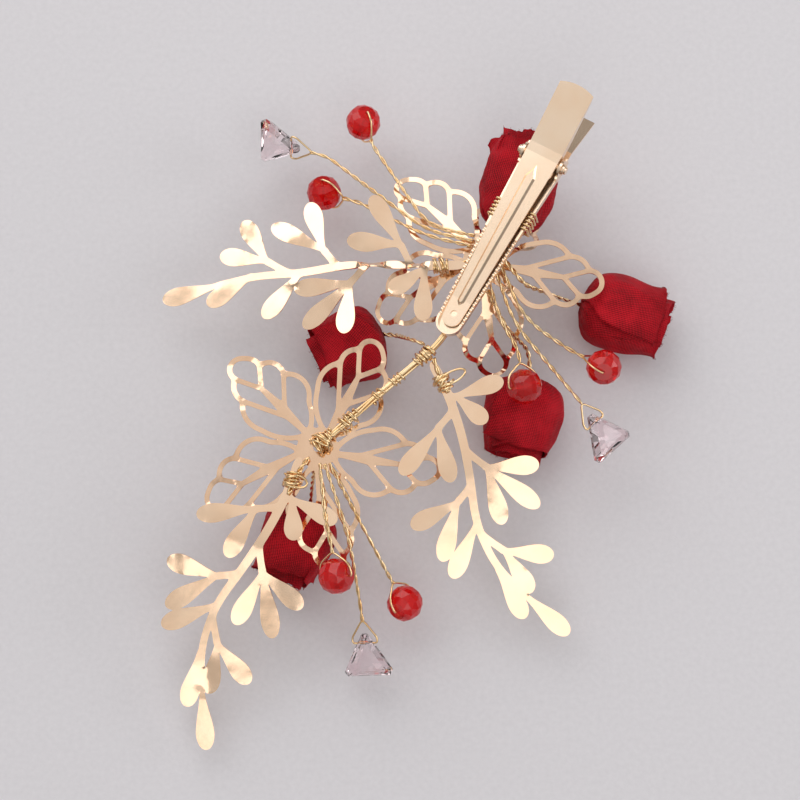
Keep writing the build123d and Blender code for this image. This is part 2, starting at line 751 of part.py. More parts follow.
# twisted stems: points from the bundle outwards
STEMS = {
    "rose_1_stem": ((17.6, 33.6, 20.6), (22.0, 28.0, 20.0), (28.5, 27.6, 12.0), (34.4, 26.6, 7.6)),
    "rose_2_stem": ((14.2, 27.2, 19.5), (18.0, 19.6, 18.2), (23.4, 16.2, 9.0), (23.6, 11.1, 7.6)),
    "rose_3_stem": ((1.0, 15.4, 20.6), (-2.0, 17.0, 18.0), (-4.6, 19.6, 9.0), (-7.5, 20.2, 7.4)),
    "rose_4_stem": ((15.0, 36.4, 20.3), (17.2, 38.4, 19.4), (18.5, 39.8, 17.2)),
    "rose_5_stem": ((-21.6, -9.9, 19.1), (-22.2, -12.4, 14.0), (-22.85, -16.3, 7.6)),
    "spray_a_stem": ((1.6, 31.6, 20.9), (6.0, 31.9, 20.9), (10.6, 33.0, 20.9)),
    "spray_b_stem": ((-22.6, -8.6, 22.3), (-24.4, -11.0, 22.3), (-26.9, -16.2, 22.2)),
    "spray_c_stem": ((2.9, 12.0, 22.6), (4.0, 8.8, 22.4), (5.9, 5.0, 22.2)),
}
for name, points in STEMS.items():
    pieces[name] = wire_piece(points, TWIST, 0.8)

# ties round the stub of each spray and its stem
for name, tie, tie_heading, lift in (
    ("tie_a", SPRAY_A_TIE, SPRAY_A_HEADING, -0.65),
    ("tie_b", SPRAY_B_TIE, SPRAY_B_HEADING, 0.45),
    ("tie_c", SPRAY_C_TIE, SPRAY_C_HEADING, 0.5),
):
    pieces[name] = place(
        coil_piece(4, TIE_RADIUS, pitch=0.8),
        Vector(*tie) + Vector(0, 0, lift) - 1.8 * Vector(*direction(tie_heading)),
        (0, 0, 1),
        direction(tie_heading),
    )

# knot that holds the first flower, drawn through its hub
pieces["knot"] = Pos(FLOWER_1[0], FLOWER_1[1], FLOWER_1[2] + 1.5) * coil_piece(3, 1.3)

# =======================================================================================
# Bring the origin to the floor under the middle of the ornament, and write the pieces
# =======================================================================================
extent = Compound(list(pieces.values())).bounding_box()
to_origin = Pos(-extent.center().X, -extent.center().Y, -extent.min.Z)

os.makedirs("parts", exist_ok=True)
for name, part in pieces.items():
    finished = to_origin * part
    finished.label = name
    export_step(finished, f"parts/{name}.step")
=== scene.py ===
"""Looks for the flower hair clip: metals, twisted wire, ribbon rosebuds and cut beads."""

import math
import random
from collections import Counter

import bpy
from mathutils import Matrix, Vector, noise
from mathutils.geometry import delaunay_2d_cdt


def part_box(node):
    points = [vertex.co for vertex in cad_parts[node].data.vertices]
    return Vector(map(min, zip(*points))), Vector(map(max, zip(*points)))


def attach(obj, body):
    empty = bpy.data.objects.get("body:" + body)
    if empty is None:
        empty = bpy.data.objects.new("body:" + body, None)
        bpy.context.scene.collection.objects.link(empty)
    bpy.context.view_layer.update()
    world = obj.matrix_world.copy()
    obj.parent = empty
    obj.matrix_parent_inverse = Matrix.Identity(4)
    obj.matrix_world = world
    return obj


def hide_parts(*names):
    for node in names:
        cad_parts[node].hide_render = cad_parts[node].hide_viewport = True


MM = 0.001
ORNAMENT = "ornament"

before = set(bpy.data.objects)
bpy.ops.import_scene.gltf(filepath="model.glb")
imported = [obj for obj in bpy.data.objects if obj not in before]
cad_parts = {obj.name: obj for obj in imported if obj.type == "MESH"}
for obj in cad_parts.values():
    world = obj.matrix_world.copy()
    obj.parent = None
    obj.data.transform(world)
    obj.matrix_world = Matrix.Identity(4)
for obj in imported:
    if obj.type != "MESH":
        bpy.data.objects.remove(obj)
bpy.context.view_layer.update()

# The first flower's stone sits under its hub, so it ties the drawing's origin to the frame.
FLOWER_1 = Vector((-21.0, -6.3, 20.0))
FLOWER_2 = Vector((13.4, 33.6, 18.6))
STONE_DROP = 0.55
stone_low, stone_high = (Vector(corner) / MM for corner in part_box("flower_1_stone"))
ORIGIN = Vector(
    (
        (stone_low.x + stone_high.x) / 2 - FLOWER_1.x,
        (stone_low.y + stone_high.y) / 2 - FLOWER_1.y,
        stone_high.z + STONE_DROP - FLOWER_1.z,
    )
)


# ---------------- camera, lights and room
VIEW_ELEVATION = math.radians(80)
VIEW_DISTANCE = 464
VIEW_TARGET = Vector((-4.0, 4.6, 15.0))


def placed(name, data, at, toward):
    """A camera or a light at a point in metres, looking along a direction."""
    made = bpy.data.objects.new(name, data)
    bpy.context.collection.objects.link(made)
    made.location = at
    made.rotation_mode = "QUATERNION"
    made.rotation_quaternion = toward.to_track_quat("-Z", "Y")
    return made


camera_data = bpy.data.cameras.new("camera")
camera_data.lens = 100
camera_data.sensor_width = 36
camera_data.clip_start = 0.01
camera_data.clip_end = 10
back = Vector((0, -math.cos(VIEW_ELEVATION), math.sin(VIEW_ELEVATION)))
eye = (VIEW_TARGET + ORIGIN + back * VIEW_DISTANCE) * MM
bpy.context.scene.camera = placed("camera", camera_data, eye, -back)

# the point that every light is aimed at, in metres
LIT_POINT = Vector((0, 0.005, 0.01))


def area_light(name, place, size, power, colour):
    """A softbox aimed at the ornament."""
    data = bpy.data.lights.new(name, "AREA")
    data.shape = "RECTANGLE"
    data.size, data.size_y = size
    data.energy = power
    data.color = colour
    placed(name, data, place, LIT_POINT - Vector(place))


area_light("key", (-0.40, 0.85, 0.75), (1.2, 1.2), 6.8, (1.0, 0.985, 0.97))
area_light("front", (0.18, -0.66, 0.92), (1.1, 0.42), 1.45, (1.0, 0.985, 0.96))
area_light("side", (0.95, 0.10, 0.42), (0.5, 0.5), 2.2, (0.97, 0.98, 1.0))

# the room from the floor up, darkest at the horizon: position up the sky and brightness
ROOM = (
    (0.0, 0.42), (0.5, 0.22), (0.66, 0.28), (0.80, 0.40), (0.90, 0.56), (0.96, 0.72), (1.0, 0.82),
)
# a slightly warm white: share of each colour in the brightness
ROOM_TINT = (1, 0.99, 0.975)
world = bpy.data.worlds.new("studio")
bpy.context.scene.world = world
world.use_nodes = True
sky = world.node_tree
sky.nodes.clear()
sky_out, sky_back, sky_ramp, sky_split, sky_map, sky_coords = (
    sky.nodes.new("ShaderNode" + kind)
    for kind in ("OutputWorld", "Background", "ValToRGB", "SeparateXYZ", "MapRange", "TexCoord")
)
sky.links.new(sky_coords.outputs["Generated"], sky_split.inputs[0])
sky.links.new(sky_split.outputs["Z"], sky_map.inputs["Value"])
sky_map.inputs["From Min"].default_value = -1
sky.links.new(sky_map.outputs[0], sky_ramp.inputs[0])
sky.links.new(sky_ramp.outputs[0], sky_back.inputs["Color"])
sky.links.new(sky_back.outputs[0], sky_out.inputs["Surface"])
stops = sky_ramp.color_ramp.elements
stops[0].position, stops[1].position = ROOM[0][0], ROOM[-1][0]
for place, _ in ROOM[1:-1]:
    stops.new(place)
for stop, (_, value) in zip(stops, ROOM):
    stop.color = (*(value * share for share in ROOM_TINT), 1)
bpy.context.scene.view_settings.view_transform = "Standard"


# ---------------- materials
class Shader:
    """A material under construction, one Principled surface with helpers for its nodes."""

    def __init__(self, name):
        self.material = bpy.data.materials.new(name)
        self.material.use_nodes = True
        self.tree = self.material.node_tree
        self.surface = self.tree.nodes["Principled BSDF"]

    def node(self, kind, **inputs):
        made = self.tree.nodes.new(kind)
        for key, value in inputs.items():
            made.inputs[key.replace("_", " ")].default_value = value
        return made

    def link(self, out, into):
        self.tree.links.new(out, into)

    def feed(self, key, out):
        self.link(out, self.surface.inputs[key])

    def set(self, **inputs):
        for key, value in inputs.items():
            self.surface.inputs[key.replace("_", " ")].default_value = value

    def coords(self, kind="Object", rotation=0, scale=(1, 1, 1)):
        """Coordinates turned about Z and then stretched."""
        turned = self.node("ShaderNodeMapping", Rotation=(0, 0, math.radians(rotation)))
        turned.vector_type = "TEXTURE"
        stretched = self.node("ShaderNodeMapping", Scale=scale)
        self.link(self.node("ShaderNodeTexCoord").outputs[kind], turned.inputs["Vector"])
        self.link(turned.outputs[0], stretched.inputs["Vector"])
        return stretched.outputs[0]

    def noise(self, scale, detail, rough=0.5):
        made = self.node("ShaderNodeTexNoise", Scale=scale, Detail=detail, Roughness=rough)
        self.link(self.coords(), made.inputs["Vector"])
        return made.outputs["Fac"]

    def bands(self, coords, along, distortion):
        made = self.node("ShaderNodeTexWave", Scale=1.0, Distortion=distortion, Detail=1.0)
        made.wave_type = "BANDS"
        made.bands_direction = along
        self.link(coords, made.inputs["Vector"])
        return made.outputs["Fac"]

    def add_scaled(self, base, extra, share):
        made = self.node("ShaderNodeMath")
        made.operation = "MULTIPLY_ADD"
        made.inputs[1].default_value = share
        self.link(extra, made.inputs[0])
        self.link(base, made.inputs[2])
        return made.outputs[0]

    def ramp(self, fac, *stops):
        made = self.tree.nodes.new("ShaderNodeValToRGB")
        self.link(fac, made.inputs[0])
        elements = made.color_ramp.elements
        elements[0].position, elements[0].color = stops[0][0], (*stops[0][1], 1)
        elements[1].position, elements[1].color = stops[-1][0], (*stops[-1][1], 1)
        for place, colour in stops[1:-1]:
            elements.new(place).color = (*colour, 1)
        return made.outputs["Color"]

    def spread(self, fac, low, high):
        made = self.node("ShaderNodeMapRange", To_Min=low, To_Max=high)
        self.link(fac, made.inputs["Value"])
        return made.outputs[0]

    def bump(self, height, strength, distance, before=None):
        made = self.node("ShaderNodeBump", Strength=strength, Distance=distance)
        self.link(height, made.inputs["Height"])
        if before is not None:
            self.link(before, made.inputs["Normal"])
        return made.outputs["Normal"]


def metal(name, dark, light, rough, wave):
    """Plated metal: cloudy tone, fine wear in the gloss and a faintly uneven skin."""
    s = Shader(name)
    s.set(Metallic=1.0, IOR=1.45)
    cloud = s.noise(140, 3)
    s.feed("Base Color", s.ramp(cloud, (0.32, dark), (0.68, light)))
    fine = s.noise(2600, 6, 0.6)
    s.feed("Roughness", s.spread(fine, rough - 0.02, rough + 0.03))
    skin = s.bump(s.noise(230, 2), wave, 0.0004)
    s.feed("Normal", s.bump(fine, 0.01, 0.0001, skin))
    return s.material


pale_gold = metal("pale_gold", (0.95, 0.66, 0.45), (1.0, 0.73, 0.52), 0.11, 0.04)
flower_gold = metal("flower_gold", (0.86, 0.57, 0.38), (0.95, 0.66, 0.46), 0.12, 0.05)
clip_gold = metal("clip_gold", (0.97, 0.73, 0.53), (1.0, 0.79, 0.60), 0.22, 0.012)
wire_gold = metal("wire_gold", (0.86, 0.58, 0.29), (0.97, 0.75, 0.46), 0.17, 0.02)
spring_wire = metal("spring_wire", (0.40, 0.39, 0.37), (0.58, 0.56, 0.53), 0.30, 0.03)


def ribbon_material():
    """Ribbed taffeta cut on the bias: fine ribs, uneven yarns and a low sheen."""
    s = Shader("red_ribbon")
    bias = s.coords("UV", rotation=28, scale=(0.72, 0.5, 1))
    ribs = s.bands(bias, "X", 0.6)
    across = s.bands(bias, "Y", 0.9)
    weave = s.add_scaled(ribs, across, 0.45)
    cloud = s.noise(170, 4)
    yarns = s.noise(1500, 3, 0.6)
    tone = s.add_scaled(s.add_scaled(cloud, weave, 0.34), yarns, 0.2)
    colour = s.ramp(
        tone,
        (0.38, (0.09, 0.0005, 0.002)),
        (0.70, (0.29, 0.002, 0.008)),
        (1.0, (0.60, 0.008, 0.020)),
    )
    s.feed("Base Color", colour)
    s.feed("Roughness", s.spread(cloud, 0.5, 0.66))
    s.set(Sheen_Weight=0.06, Sheen_Roughness=0.4, Sheen_Tint=(0.9, 0.06, 0.09, 1))
    s.set(Specular_IOR_Level=0.16)
    s.feed("Normal", s.bump(weave, 0.75, 0.00013))
    return s.material


red_ribbon = ribbon_material()


def cut_glass(name, dark, light, clear=1.0, ior=1.58):
    """Cut glass whose tint drifts a little through the stone."""
    s = Shader(name)
    s.set(IOR=ior, Transmission_Weight=clear)
    cloud = s.noise(260, 3)
    s.feed("Base Color", s.ramp(cloud, (0.3, dark), (0.7, light)))
    s.feed("Roughness", s.spread(s.noise(1500, 4), 0.01, 0.04))
    s.feed("Normal", s.bump(s.noise(700, 2), 0.015, 0.0002))
    return s.material


red_glass = cut_glass("red_glass", (0.80, 0.004, 0.006), (0.93, 0.012, 0.012), 0.66, 1.52)
pink_glass = cut_glass("pink_glass", (1.0, 0.80, 0.84), (1.0, 0.92, 0.94))
clear_glass = cut_glass("clear_glass", (0.95, 0.95, 0.96), (1.0, 1.0, 1.0))


# ---------------- mesh helpers
def solid(name, vertices, faces, material, body=ORNAMENT, smooth=True, uvs=None):
    """A piece from millimetre vertices of the drawing, riding on a body."""
    mesh = bpy.data.meshes.new(name)
    mesh.from_pydata([tuple((Vector(v) + ORIGIN) * MM) for v in vertices], [], faces)
    mesh.validate()
    mesh.update()
    mesh.materials.append(material)
    mesh.polygons.foreach_set("use_smooth", [smooth] * len(mesh.polygons))
    if uvs:
        layer = mesh.uv_layers.new(name="UVMap")
        for loop in mesh.loops:
            layer.data[loop.index].uv = uvs[loop.vertex_index]
    piece = bpy.data.objects.new(name, mesh)
    bpy.context.collection.objects.link(piece)
    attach(piece, body)
    return piece


def bevelled(piece, width, angle=40):
    """Round the sharp edges and leave the flats between them flat."""
    edge = piece.modifiers.new("edge", "BEVEL")
    edge.width = width * MM
    edge.segments = 2
    edge.limit_method = "ANGLE"
    edge.angle_limit = math.radians(angle)
    edge.harden_normals = True


def rounded(points, cut, closed=False, steps=5):
    """The run of points with smooth corners, whose reach is one cut or a tuple of cuts."""
    points = [Vector(p) for p in points]
    count = len(points)
    cuts = cut if isinstance(cut, tuple) else (cut,) * count
    line = [] if closed else [points[0]]
    for i in range(0 if closed else 1, count if closed else count - 1):
        before, corner, after = points[i - 1], points[i], points[(i + 1) % count]
        reach = min(cuts[i], 0.48 * (corner - before).length, 0.48 * (after - corner).length)
        start = corner + (before - corner).normalized() * reach
        end = corner + (after - corner).normalized() * reach
        for k in range(steps + 1):
            t = k / steps
            line.append(start * (1 - t) ** 2 + corner * 2 * t * (1 - t) + end * t * t)
    if not closed:
        line.append(points[-1])
    return line


def resample(line, spacing, closed=False):
    """Evenly spaced points along a line."""
    line = list(line) + ([line[0]] if closed else [])
    lengths = [0.0]
    for a, b in zip(line, line[1:]):
        lengths.append(lengths[-1] + (b - a).length)
    count = max(3, round(lengths[-1] / spacing))
    spaced, k = [], 0
    for i in range(count if closed else count + 1):
        want = lengths[-1] * i / count
        while k < len(lengths) - 2 and lengths[k + 1] < want:
            k += 1
        span = lengths[k + 1] - lengths[k] or 1.0
        spaced.append(line[k].lerp(line[k + 1], (want - lengths[k]) / span))
    return spaced


def frames_along(line, closed=False):
    """Two steady normals at every point of a line."""
    count = len(line)
    found, normal = [], None
    for i, point in enumerate(line):
        ahead = line[(i + 1) % count] if closed or i < count - 1 else point
        behind = line[i - 1] if closed or i else point
        tangent = (ahead - behind).normalized()
        if normal is None:
            normal = tangent.orthogonal().normalized()
        normal = (normal - tangent * normal.dot(tangent)).normalized()
        found.append((normal, tangent.cross(normal)))
    return found


def on_circle(n, b, angle, radius):
    """Offset at an angle round a line whose normals are n and b."""
    return (n * math.cos(angle) + b * math.sin(angle)) * radius


def tube(line, radius, sides=8, closed=False):
    """Vertices and faces of a round tube along a line."""
    vertices, faces = [], []
    for point, (n, b) in zip(line, frames_along(line, closed)):
        for k in range(sides):
            vertices.append(point + on_circle(n, b, math.tau * k / sides, radius))
    count = len(line)
    for i in range(count if closed else count - 1):
        j = (i + 1) % count
        for k in range(sides):
            m = (k + 1) % sides
            faces.append((i * sides + k, i * sides + m, j * sides + m, j * sides + k))
    if not closed:
        faces.append(tuple(range(sides - 1, -1, -1)))
        faces.append(tuple((count - 1) * sides + k for k in range(sides)))
    return vertices, faces


def joined(parts):
    """Several meshes as one list of vertices and faces."""
    vertices, faces = [], []
    for part_vertices, part_faces in parts:
        start = len(vertices)
        vertices += part_vertices
        faces += [tuple(start + i for i in face) for face in part_faces]
    return vertices, faces


def direction(degrees):
    return Vector((math.cos(math.radians(degrees)), math.sin(math.radians(degrees)), 0))


def left_of(heading):
    return Vector((-heading.y, heading.x, 0))


def frame_of(x_dir, y_dir):
    """Rotation whose columns are x_dir, y_dir and their cross product."""
    return Matrix((x_dir, y_dir, x_dir.cross(y_dir))).transposed()


def smoothstep(low, high, x):
    t = min(1.0, max(0.0, (x - low) / (high - low)))
    return t * t * (3 - 2 * t)


# ---------------- stampings from flat sheet
EDGE_STEP = 0.4
INNER_STEP = 0.9
EDGE_SOFTENING = 4
# share of an offset that a point has to keep, and distance at which plan points merge
KEPT_SHARE = 0.97
MERGE = 1e-4


def offset_ring(ring, amount):
    """An anticlockwise ring moved outwards, or inwards by a negative amount, without its loops."""
    moved = []
    for i, point in enumerate(ring):
        ahead = ring[(i + 1) % len(ring)] - ring[i - 1]
        moved.append(point + Vector((ahead.y, -ahead.x, 0)).normalized() * amount)
    gap = abs(amount) * KEPT_SHARE
    return [point for point in moved if min((point - at).length for at in ring) > gap]


def anticlockwise(ring):
    area = sum(a.x * b.y - b.x * a.y for a, b in zip(ring, ring[1:] + ring[:1]))
    return ring if area > 0 else ring[::-1]


def neighbours(triangles):
    beside = {}
    for triangle in triangles:
        for corner in triangle:
            beside.setdefault(corner, set()).update(triangle)
    return {corner: sorted(near - {corner}) for corner, near in beside.items()}


def rim_of(triangles):
    """The neighbours of each rim vertex along the rim."""
    rim = {}
    seen = Counter(frozenset(edge) for t in triangles for edge in zip(t, t[1:] + t[:1]))
    for edge, uses in seen.items():
        if uses == 1:
            a, b = edge
            rim.setdefault(a, []).append(b)
            rim.setdefault(b, []).append(a)
    return rim


def blank(solids, holes):
    """Plan of a stamping: vertices, triangles and the rings that own each vertex."""
    points, faces = [], []
    for ring in (*solids, *holes):
        spaced = anticlockwise(resample(ring, EDGE_STEP, closed=True))
        faces.append(list(range(len(points), len(points) + len(spaced))))
        points += [point.to_2d() for point in spaced]
    taken = {(round(p.x / INNER_STEP), round(p.y / INNER_STEP)) for p in points}
    low_x, high_x = min(p.x for p in points), max(p.x for p in points)
    low_y, high_y = min(p.y for p in points), max(p.y for p in points)
    for row in range(int((high_y - low_y) / INNER_STEP)):
        for column in range(int((high_x - low_x) / INNER_STEP)):
            point = Vector((low_x + (column + row % 2 / 2) * INNER_STEP, low_y + row * INNER_STEP))
            if (round(point.x / INNER_STEP), round(point.y / INNER_STEP)) not in taken:
                points.append(point)
    found, _, triangles, _, _, inside = delaunay_2d_cdt(points, [], faces, 0, MERGE)
    kept, owners = [], {}
    for triangle, rings in zip(triangles, inside):
        if not rings or max(rings) >= len(solids):
            continue
        kept.append(tuple(triangle))
        for corner in triangle:
            owners.setdefault(corner, set()).update(rings)
    rim = rim_of(kept)
    flat = {corner: Vector((*found[corner], 0)) for corner in owners}
    inner = neighbours(kept)
    for _ in range(EDGE_SOFTENING):
        moved = {}
        for corner, beside in rim.items():
            if len(beside) == 2:
                moved[corner] = (flat[corner] * 2 + flat[beside[0]] + flat[beside[1]]) / 4
        flat.update(moved)
        for corner, beside in inner.items():
            if corner not in rim:
                flat[corner] = sum((flat[k] for k in beside), Vector((0, 0, 0))) / len(beside)
    order = {corner: i for i, corner in enumerate(owners)}
    triangles = [tuple(order[corner] for corner in triangle) for triangle in kept]
    return [flat[corner] for corner in owners], triangles, list(owners.values())


def smoothed(values, triangles, rounds):
    """Each value drawn towards the mean of its neighbours, round after round."""
    beside = neighbours(triangles)
    for _ in range(rounds):
        means = [sum(values[k] for k in beside[i]) / len(beside[i]) for i in range(len(values))]
        values = [(value + mean) / 2 for value, mean in zip(values, means)]
    return values


def stamping(name, node, vertices, triangles, thickness, material):
    """A sheet piece that takes the place of its CAD solid."""
    piece = solid(name, vertices, triangles, material)
    sheet = piece.modifiers.new("sheet", "SOLIDIFY")
    sheet.thickness = thickness * MM
    sheet.offset = 0
    bevelled(piece, 0.08, 50)
    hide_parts(node)


# ---------------- openwork flowers
PETAL_CELLS = (
    (
        ((3.4, -0.5), (11, -0.9), (16.3, -5.4)),
        (((12.8, -7.5), (8.4, -5.2)), ((5.2, -3.2), (3.4, -0.5))),
    ),
    (((16.3, -5.4), (11, -0.9), (17.2, 0), (21.2, -3.0)), (((19.9, -5.3), (16.3, -5.4)),)),
    (
        ((21.2, -3.0), (17.2, 0), (22.4, 2.6)),
        (((25.7, 0.4), (24.4, -1.9)), ((22.9, -3.0), (21.2, -3.0))),
    ),
    (((22.4, 2.6), (17.2, 0), (9.1, 0.2), (17.8, 4.6)), (((20.3, 4.6), (22.4, 2.6)),)),
    (
        ((17.8, 4.6), (9.1, 0.2), (3.4, -0.5)),
        (((6.2, 3.6), (10.6, 5.9)), ((14.6, 6.6), (17.8, 4.6))),
    ),
)
RIM_OUTER = 0.55
RIM_INNER = 0.5
HUB = 4.2
HUB_HOLE = 0.9
PETALS = 5
BEND_START = 3.4
PETAL_REACH = 26.0
PETAL_HALF = 7
PETAL_MIDDLE = Vector((12, 0, 0))
FLOWER_THICK = 0.42
FLOWER_SMOOTHING = 4
FLOWER_TURN = 133
# slope at the hub and further bend along the petal, in degrees, petal by petal
FLOWER_1_BENDS = ((1, 10), (2, 20), (8, 16), (2, 8), (2, 10))
FLOWER_2_BENDS = ((6, 14), (8, 26), (20, 24), (2, 12), (46, 2))


def arc_points(start, through, end, count=9):
    """Points on the circle through three plan points."""
    (ax, ay), (bx, by), (cx, cy) = start, through, end
    a, b, c = ax**2 + ay**2, bx**2 + by**2, cx**2 + cy**2
    d = 2 * (ax * (by - cy) + bx * (cy - ay) + cx * (ay - by))
    ux = (a * (by - cy) + b * (cy - ay) + c * (ay - by)) / d
    uy = (a * (cx - bx) + b * (ax - cx) + c * (bx - ax)) / d
    radius = math.hypot(ax - ux, ay - uy)
    first = math.atan2(ay - uy, ax - ux)
    middle = (math.atan2(by - uy, bx - ux) - first) % math.tau
    last = (math.atan2(cy - uy, cx - ux) - first) % math.tau
    if middle > last:
        last -= math.tau
    turns = [first + last * k / count for k in range(1, count + 1)]
    return [Vector((ux + radius * math.cos(t), uy + radius * math.sin(t), 0)) for t in turns]


def cell_ring(veins, arcs):
    ring = [Vector((*point, 0)) for point in veins]
    start = veins[-1]
    for through, end in arcs:
        ring += arc_points(start, through, end)
        start = end
    return anticlockwise(resample(ring[:-1], EDGE_STEP / 2, closed=True))


def circle(radius, count=40):
    turns = [math.tau * k / count for k in range(count)]
    return [Vector((radius * math.cos(t), radius * math.sin(t), 0)) for t in turns]


cells = [cell_ring(veins, arcs) for veins, arcs in PETAL_CELLS]
stalk = [Vector(p) for p in ((0, -1.1, 0), (5, -0.9, 0), (5, 0.7, 0), (0, 1.1, 0))]
petal_solids = [offset_ring(cell, RIM_OUTER) for cell in cells] + [stalk]
petal_holes = [offset_ring(cell, -RIM_INNER) for cell in cells]


def flower(name, node, centre, bends, seed):
    rand = random.Random(seed)
    headings = [FLOWER_TURN + 360 / PETALS * k for k in range(PETALS)]
    turns = [Matrix.Rotation(math.radians(heading), 3, "Z") for heading in headings]
    solids = [[turn @ p for p in ring] for turn in turns for ring in petal_solids]
    holes = [[turn @ p for p in ring] for turn in turns for ring in petal_holes]
    warps = [(rand.uniform(-0.16, 0.16), rand.uniform(-0.3, 0.8)) for _ in bends]

    def bend(point, owners):
        petals = {owner // len(petal_solids) for owner in owners if owner < len(solids)}
        if not petals:
            return centre + point
        petal = min(petals, key=lambda k: (point - turns[k] @ PETAL_MIDDLE).length)
        slope, bow = (math.radians(angle) for angle in bends[petal])
        roll, cup = warps[petal]
        local = turns[petal].transposed() @ point
        run = max(0.0, local.x - BEND_START)
        curl = bow / PETAL_REACH
        angle = slope + curl * run
        x = min(local.x, BEND_START) + (math.sin(angle) - math.sin(slope)) / curl
        z = (math.cos(angle) - math.cos(slope)) / curl
        share = run / PETAL_REACH
        rise = cup * (local.y / PETAL_HALF) ** 2 * share + math.sin(roll * share * 2) * local.y
        bent = Vector((x + rise * math.sin(angle), local.y, z + rise * math.cos(angle)))
        return centre + turns[petal] @ bent

    plan, triangles, owners = blank([*solids, circle(HUB)], [*holes, circle(HUB_HOLE, 16)])
    bent = [bend(p, who) for p, who in zip(plan, owners)]
    heights = smoothed([p.z for p in bent], triangles, FLOWER_SMOOTHING)
    for point, z in zip(bent, heights):
        point.z = z
    stamping(name, node, bent, triangles, FLOWER_THICK, flower_gold)


flower("flower_1_stamping", "flower_1", FLOWER_1, FLOWER_1_BENDS, 5)
flower("flower_2_stamping", "flower_2", FLOWER_2, FLOWER_2_BENDS, 6)


# ---------------- leaf sprays
# runs of the stem from the tie outwards: length and heading
SPRAY_STEM = ((10, -9), (10, -18), (8, -21), (10, -2), (8, 22))
TWISTED_STEM = ((10, -4), (13, -4), (5, 16), (10, -3), (8, 11))
# distance from the tie, side, branch length and heading, then length and heading of its leaves
SPRAY_LEAVES = (
    (1.6, 1, 1.4, 90, ((10.5, 90), (8.5, 30))),
    (4.2, -1, 5.0, 60, ((12.4, 58), (11.5, 5))),
    (13.0, 1, 5.5, 44, ((11.0, 85), (13.5, 45), (12.0, 6))),
    (20.0, -1, 4.5, 50, ((11.0, 72), (12.5, 25))),
    (28.0, -1, 0, 0, ((12.0, 32),)),
    (30.0, 1, 6.0, 31, ((10.5, 60), (10.3, 9))),
    (38.5, -1, 0, 0, ((11.0, 19),)),
    (46.0, 1, 0, 0, ((12.0, 0),)),
)
# spray_a's stem is twisted up to the last of these, so its leaves past TWIST_FROM change sides
TWIST_RISE = (0, 3)
TWIST_FALL = (17, 20.5)
TWIST_STOP = 21
TWIST_FROM = 26
STUB = 7.0
LEAF_HALF = 1.98
LEAF_STEPS = 28
# shares of a leaf's length: up to its widest place, and the round tip beyond
WIDEST = 0.7
TIP = 0.3
STALK_HALF = 0.55
STEM_HALF = 1.0
BRANCH_HALVES = (0.85, 0.78, 0.72, 0.7, 0.72, 0.8)
SPRAY_THICK = 0.32
SPRAY_SMOOTHING = 8
# leaves that meet this far from their forks lie flat
OVERLAP_FROM = 4.5
# tie, heading, stem, and the height of the sheet at distances from the tie
SPRAYS = {
    "spray_a": (
        Vector((2.7, 31.7, 22.0)), 182, TWISTED_STEM,
        ((-10, 0), (12, -0.6), (32, -5.5), (66, -13)),
    ),
    "spray_b": (
        Vector((-26.6, -15.0, 21.4)), -108, SPRAY_STEM,
        ((-10, 0.2), (10, -0.8), (26, -6.5), (68, -19.5)),
    ),
    "spray_c": (
        Vector((5.7, 5.4, 21.4)), -62, SPRAY_STEM,
        ((-10, 0.4), (14, -1.2), (32, -6.5), (68, -18.5)),
    ),
}


def stem_at(stem, distance):
    """Place and heading of the stem at a distance from the tie."""
    place = Vector((0, 0, 0))
    for length, heading in stem:
        run = min(length, distance)
        place += direction(heading) * run
        distance -= run
        if distance <= 1e-6:
            break
    return place, heading


def height_at(side_line, x):
    """Height of the bent sheet at a distance along the spray, eased at its bends."""

    def straight(at):
        for (x0, z0), (x1, z1) in zip(side_line, side_line[1:]):
            if at <= x1:
                break
        return z0 + (z1 - z0) * (at - x0) / (x1 - x0)

    return sum(straight(x + shift) for shift in (-3, -1.5, 0, 1.5, 3)) / 5


def leaf_half(t):
    """Half width of a leaf at a share of its length: narrow stalk, round tip."""
    if t > WIDEST:
        return LEAF_HALF * math.sqrt(max(0.0, 1 - ((t - WIDEST) / TIP) ** 2))
    share = 0.35 * t / WIDEST + 0.65 * smoothstep(0.04, WIDEST, t)
    return STALK_HALF + (LEAF_HALF - STALK_HALF) * share


def ribbon_ring(line, halves):
    """Outline of a band: its middle line and its half width at each point."""
    left, right = [], []
    for i, point in enumerate(line):
        ahead = line[min(i + 1, len(line) - 1)] - line[max(i - 1, 0)]
        across = left_of(ahead).normalized() * halves[i]
        left.append(point + across)
        right.append(point - across)
    return right + left[::-1]


